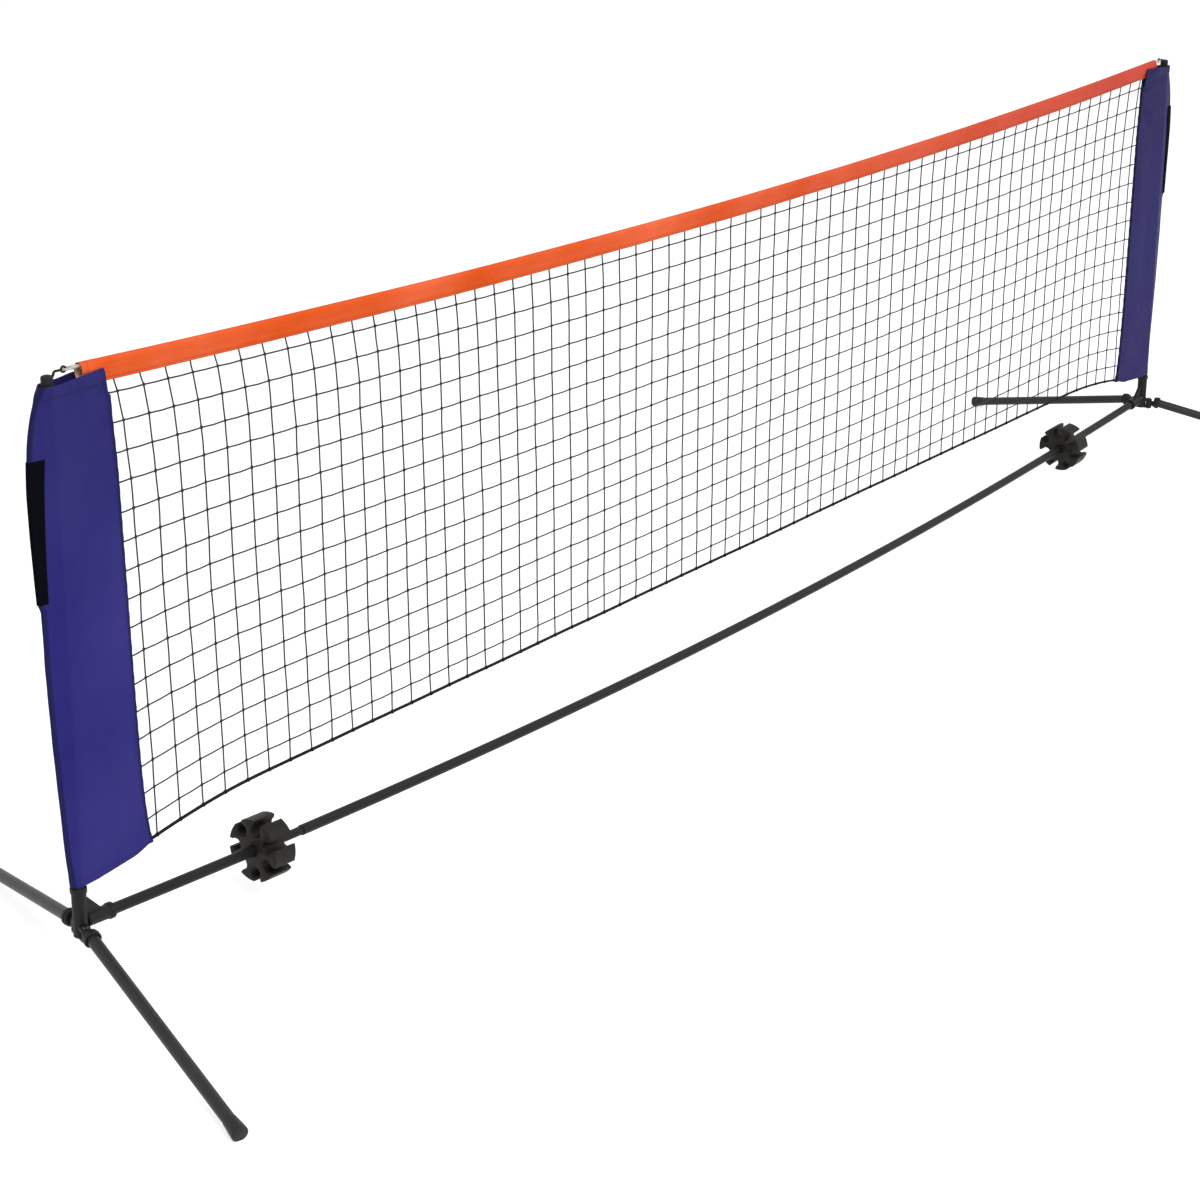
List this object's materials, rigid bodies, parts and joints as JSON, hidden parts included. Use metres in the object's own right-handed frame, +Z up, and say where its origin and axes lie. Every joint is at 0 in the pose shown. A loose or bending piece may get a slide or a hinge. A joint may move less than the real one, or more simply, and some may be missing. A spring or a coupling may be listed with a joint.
{
  "type": "pickleball portable net",
  "caption": "Free-standing portable frame net with leaning posts, swivelling legs, a sagging ground bar, an orange top tape, blue post sleeves and storage clips.",
  "frame": {"origin": "on the ground midway between the two post axes", "axes": "+X along the net from the left post to the right post, +Y across the net, +Z up"},
  "size_m": [3.3904, 0.8728, 0.872],
  "materials": {
    "powder_coat": "satin dark grey powder coat on steel tube",
    "bar_coat": "satin black powder coat on steel tube",
    "moulded_black": "satin moulded black plastic",
    "clip_plastic": "moulded black plastic with a faint brown cast",
    "rivet_steel": "blackened steel rivet",
    "blue_cloth": "woven nylon, violet blue",
    "orange_tape": "coated tape, orange, semi-matt",
    "white_rope": "braided rope, off-white",
    "black_cord": "braided cord, black",
    "net_thread": "knotted thread, dark grey",
    "hook_loop": "hook-and-loop tape, black"
  },
  "bodies": {
    "frame_and_net": {"left_hub": "moulded_black", "right_hub": "moulded_black", "left_post": "powder_coat", "right_post": "powder_coat", "left_post_cap": "moulded_black", "right_post_cap": "moulded_black", "left_sleeve": "blue_cloth", "right_sleeve": "blue_cloth", "left_closure_strip": "hook_loop", "right_closure_strip": "hook_loop", "left_front_hinge_pin": "rivet_steel", "left_rear_hinge_pin": "rivet_steel", "right_front_hinge_pin": "rivet_steel", "right_rear_hinge_pin": "rivet_steel", "bar_left_end_tube": "bar_coat", "bar_left_middle_tube": "bar_coat", "bar_centre_tube": "bar_coat", "bar_right_middle_tube": "bar_coat", "bar_right_end_tube": "bar_coat", "net_mesh": "net_thread", "top_tape": "orange_tape", "top_rope": "white_rope", "bottom_cord": "black_cord"},
    "left_front_leg": {"left_front_leg_socket": "moulded_black", "left_front_leg_tube": "powder_coat", "left_front_foot_cap": "moulded_black"},
    "left_rear_leg": {"left_rear_leg_socket": "moulded_black", "left_rear_leg_tube": "powder_coat", "left_rear_foot_cap": "moulded_black"},
    "right_front_leg": {"right_front_leg_socket": "moulded_black", "right_front_leg_tube": "powder_coat", "right_front_foot_cap": "moulded_black"},
    "right_rear_leg": {"right_rear_leg_socket": "moulded_black", "right_rear_leg_tube": "powder_coat", "right_rear_foot_cap": "moulded_black"},
    "left_clip": {"left_storage_clip": "clip_plastic"},
    "right_clip": {"right_storage_clip": "clip_plastic"}
  },
  "joints": [
    {"name": "left_front_leg_swivel", "type": "hinge", "parent": "frame_and_net", "child": "left_front_leg", "pos_m": [-1.55525, -0.01617, 0.0955], "axis": [0, 0, 1], "range_deg": [-14, 76]},
    {"name": "left_rear_leg_swivel", "type": "hinge", "parent": "frame_and_net", "child": "left_rear_leg", "pos_m": [-1.54475, 0.01617, 0.0955], "axis": [0, 0, 1], "range_deg": [-41, 49]},
    {"name": "right_front_leg_swivel", "type": "hinge", "parent": "frame_and_net", "child": "right_front_leg", "pos_m": [1.55525, -0.01617, 0.0955], "axis": [0, 0, 1], "range_deg": [-79.5, 10.5]},
    {"name": "right_rear_leg_swivel", "type": "hinge", "parent": "frame_and_net", "child": "right_rear_leg", "pos_m": [1.54475, 0.01617, 0.0955], "axis": [0, 0, 1], "range_deg": [-26, 64]},
    {"name": "left_clip_turn", "type": "hinge", "parent": "frame_and_net", "child": "left_clip", "pos_m": [-1.211, 0, 0.08351], "axis": [0.9982, 0, -0.0594], "continuous": true},
    {"name": "right_clip_turn", "type": "hinge", "parent": "frame_and_net", "child": "right_clip", "pos_m": [1.19, 0, 0.08228], "axis": [0.9983, 0, 0.0583], "continuous": true}
  ]
}
